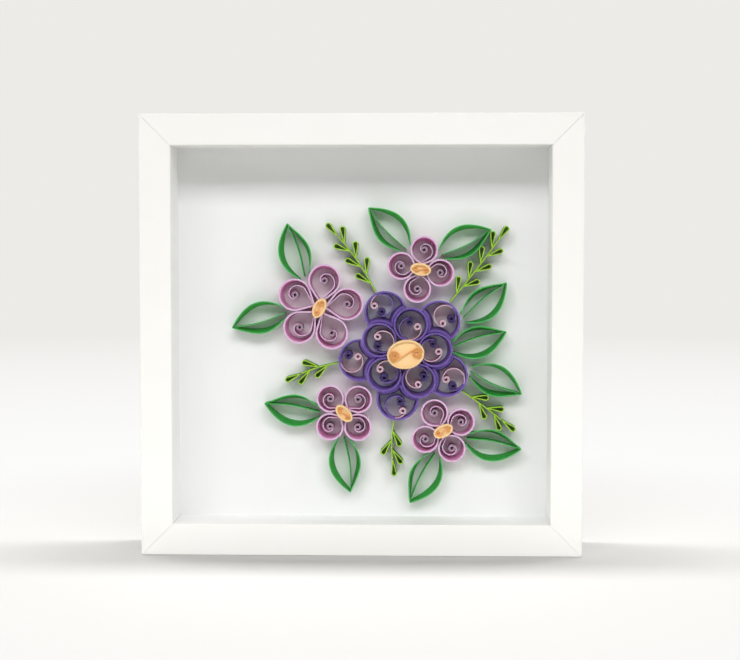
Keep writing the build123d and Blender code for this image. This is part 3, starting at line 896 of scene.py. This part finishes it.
def paper_discs(name, flower, long_half, short_half, heading, node):
    """Stack of oval sheets of peach paper under a centre."""
    low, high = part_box(node)
    sheet = (high.y - low.y - CENTRE_WELL * MM) / DISCS
    points = []
    faces = []
    for disc in range(DISCS):
        middle = flower + DISC_SHIFT * turn(DISC_TURN * disc)
        for back in (disc * sheet, (disc + 1) * sheet - DISC_GAP * MM):
            for i in range(DISC_POINTS):
                angle = 2 * pi * i / DISC_POINTS
                spot = middle + complex(long_half * cos(angle), short_half * sin(angle)) * turn(heading)
                points.append((spot.real * MM, high.y - back, card_middle + spot.imag * MM))
        front = 2 * DISC_POINTS * disc
        rear = front + DISC_POINTS
        faces.append([front + i for i in reversed(range(DISC_POINTS))])
        faces.append([rear + i for i in range(DISC_POINTS)])
        for i in range(DISC_POINTS):
            after = (i + 1) % DISC_POINTS
            faces.append([front + i, front + after, rear + after, rear + i])
    mesh = bpy.data.meshes.new(name)
    mesh.from_pydata(points, [], faces)
    mesh.materials.append(peach_paper)
    piece = bpy.data.objects.new(name, mesh)
    scene.collection.objects.link(piece)
    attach(piece, "root")
    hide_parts(node)


def oval_centre(flower, seat, eye_radius, heading, node):
    """Discs, oval coil and S strip of one flower centre."""
    long_half = seat + CENTRE_SEAT + CENTRE_OVAL
    short_half = seat + CENTRE_SEAT
    paper_discs(f"{node}_discs", flower, long_half - DISC_INSET, short_half - DISC_INSET, heading, node)
    low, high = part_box(node)
    floor = (high.y - low.y) / MM - CENTRE_WELL
    coil = oval_turns(flower, long_half, short_half, heading)
    orbit = long_half - PAPER - TURN_PITCH * CENTRE_TURNS - eye_radius
    ends = []
    for side in (0, 180):
        centre = flower + orbit * turn(heading + side)
        ends.append(eye(centre, eye_radius, heading + side + 90, -1))
    s_strip = ends[0][::-1] + ends[1]
    rolled(f"{node}_coil", [coil], peach_paper, node, floor=floor)
    rolled(
        f"{node}_s_strip",
        [s_strip],
        apricot_paper,
        node,
        floor=floor,
        short=S_STRIP_SHORT,
    )


oval_centre(violet, inner_orbit - VIOLET_INNER_RADIUS, VIOLET_CENTRE_EYE, SPRAY_TURN, "violet_centre")
for site, (flower, outward) in lilac_sites.items():
    oval_centre(flower, LILAC_TIP, LILAC_CENTRE_EYE, outward + 90, f"{site}_lilac_centre")
print("centres", 1 + len(lilac_sites))

# %% [markdown]
# ## Leaves
# A leaf is one strip folded sharply at its point and left open at its foot, with a vein strip set
# inside. Its sides follow half a sine wave about a gently bent midline, so the leaf is widest near
# its middle and comes to a true point.

# %% Leaves
LEAF_BEND = 16.0
LEAF_GAP = 1.5
VEIN_BOW = 2.6
LEAF_FLARE = 2.2
LEAF_POINTS = 32
LEAF_PAPER = 0.6
VEIN_PAPER = 0.45
VEIN_POINTS_OFF = 2


def bent_line(foot, heading, length, bend, share):
    """Point and heading at a share of a line that bends evenly."""
    angle = radians(bend)
    along = complex(sin(angle * share), 1 - cos(angle * share)) * length / angle
    return foot + along * turn(heading), heading + bend * share


def leaf(foot, heading, bend, node):
    """Folded strip and vein of one leaf."""
    opening = asin(LEAF_BASE / LEAF_WIDTH) / pi
    bow = VEIN_BOW if bend > 0 else -VEIN_BOW
    left = []
    right = []
    vein = []
    lean = []
    for i in range(LEAF_POINTS + 1):
        share = i / LEAF_POINTS
        point, way = bent_line(foot, heading, LEAF_LENGTH, bend, share)
        half_width = LEAF_WIDTH / 2 * sin(pi * (opening + (1 - opening) * share))
        left.append(point + half_width * turn(way + 90))
        right.append(point - half_width * turn(way + 90))
        vein.append(point + bow * sin(pi * share) * turn(way + 90))
        lean.append(-LEAF_FLARE * sin(pi * share))
    fold = [left + right[-2::-1]]
    leans = [lean + lean[-2::-1]]
    rolled(f"{node}_fold", fold, leaf_paper, node, thickness=LEAF_PAPER, leans=leans)
    rolled(
        f"{node}_vein",
        [vein[:-VEIN_POINTS_OFF]],
        leaf_paper,
        node,
        short=INNER_SHORT,
        thickness=VEIN_PAPER,
    )


leaves = 0
for site, (petals, radius) in LILAC_FLOWERS.items():
    flower, outward = lilac_sites[site]
    for side in (-1, 1):
        leaves += 1
        heading = outward + side * 180 / petals
        foot = flower + lilac_valley(petals, radius) * turn(heading)
        leaf(foot, heading, side * LEAF_BEND, f"leaf_{leaves}")
clear_reach = violet_reach + PETAL_GAP
fan_step = degrees((LEAF_WIDTH + LEAF_GAP) / (clear_reach + LEAF_LENGTH / 4))
for side in (-1, 0, 1):
    leaves += 1
    heading = SPRAY_TURN + side * fan_step
    start = clear_reach if side else valley_reach + PETAL_GAP
    leaf(violet + start * turn(heading), heading, LEAF_BEND * (side or 1), f"leaf_{leaves}")
print("leaves", leaves)

# %% [markdown]
# ## Sprigs
# A sprig is a bent stem strip with small closed loops glued on by turns and one at its end. The loops
# are deep and narrow, so little light reaches their floor, and their lime wall is painted a much
# darker green than its cut edge as painted shade: together these give the dark hearts that the
# photograph shows.

# %% Sprigs
STEM_BEND = 16.0
RIGHT_STEM_BEND = 5.0
LOOP_RADIUS = 1.7
LOOP_GLUED = 1.2
LOOP_SPREAD = 32.0
LOOP_INSET = 0.3
LOOP_PAPER = 0.55
STEM_PAPER = 0.6
STEM_POINTS = 40
SPRIG_ROOM = 18.0


def sprig(foot, heading, loops, bend, node):
    """Stem and loops of one sprig."""
    length = STEM_BARE + (loops - 1) * LOOP_PITCH
    shares = [i / STEM_POINTS for i in range(STEM_POINTS + 1)]
    stem = [bent_line(foot, heading, length, bend, share)[0] for share in shares]
    drops = []
    for i in range(loops):
        point, way = bent_line(foot, heading, length, bend, (STEM_BARE + i * LOOP_PITCH) / length)
        way += 0 if i == loops - 1 else LOOP_SPREAD * (-1) ** i
        tip = point - LOOP_GLUED * turn(way)
        bulb = point + (LOOP_LENGTH - LOOP_RADIUS) * turn(way)
        drops.append(teardrop(tip, bulb, LOOP_RADIUS, LOOP_INSET))
    rolled(f"{node}_loops", drops, lime_paper, node, thickness=LOOP_PAPER, closed=True)
    rolled(f"{node}_stem", [stem], lime_paper, node, short=INNER_SHORT, thickness=STEM_PAPER)


for i, loops in enumerate(SPRIG_LOOPS):
    heading = SPRAY_TURN + petal_step * (i + 1.5)
    sprig(violet + clear_reach * turn(heading), heading, loops, STEM_BEND, f"sprig_{i + 1}")
for number, (side, loops) in enumerate(zip((-1, 1), RIGHT_LOOPS), start=len(SPRIG_LOOPS) + 1):
    heading = SPRAY_TURN + side * (fan_step + SPRIG_ROOM)
    foot = violet + clear_reach * turn(heading)
    sprig(foot, heading, loops, side * RIGHT_STEM_BEND, f"sprig_{number}")
print("sprigs", len(SPRIG_LOOPS) + len(RIGHT_LOOPS))

# %% [markdown]
# ## The back
# Behind the card is a brown hardboard, held by bendable zinc plated tabs, with a brassed sawtooth
# hanger. Hardboard is pressed wood fibre: brown, with paler and darker flecks and a fine felt of
# fibre. The two metals differ in colour and polish only.

# %% Hardboard
BROWNS = ((0.3, "#6b4529"), (0.72, "#a47b54"))
hardboard, tree, shader = new_material("pressed_hardboard", {"Roughness": 0.62, "IOR": 1.5})
# Bundles of fibre show as flecks of about 1.6 mm.
fleck = mottle(tree, 1.6, detail=5.0, roughness=0.7)
ramp = add(tree, "ShaderNodeValToRGB", {"Fac": fleck})
for stop, (position, brown) in zip(ramp.color_ramp.elements, BROWNS):
    stop.position = position
    stop.color = linear(brown)
tree.links.new(ramp.outputs[0], shader.inputs["Base Color"])
roughen(tree, shader, fleck, strength=0.4, depth_mm=0.08)
finish(hardboard, "back_board")


# %% Plated steel
SPANGLE = 3.0


def plated(name, light, dark, roughness):
    """Bright plated steel with the cloudy spangle of a dipped coat."""
    material, tree, shader = new_material(name, {"Metallic": 1.0, "Roughness": roughness})
    place = add(tree, "ShaderNodeTexCoord").outputs["Object"]
    scale = {"Scale": 1 / (SPANGLE * MM)}
    spangle = add(tree, "ShaderNodeTexVoronoi", {"Vector": place}, scale).outputs["Color"]
    tree.links.new(blend(tree, spangle, light, dark), shader.inputs["Base Color"])
    return material


finish(plated("zinc_plated_steel", "#c3c7c9", "#a3a8ab", roughness=0.34), "retaining_tabs")
finish(plated("brassed_steel", "#d2b163", "#b6934a", roughness=0.3), "hanger")
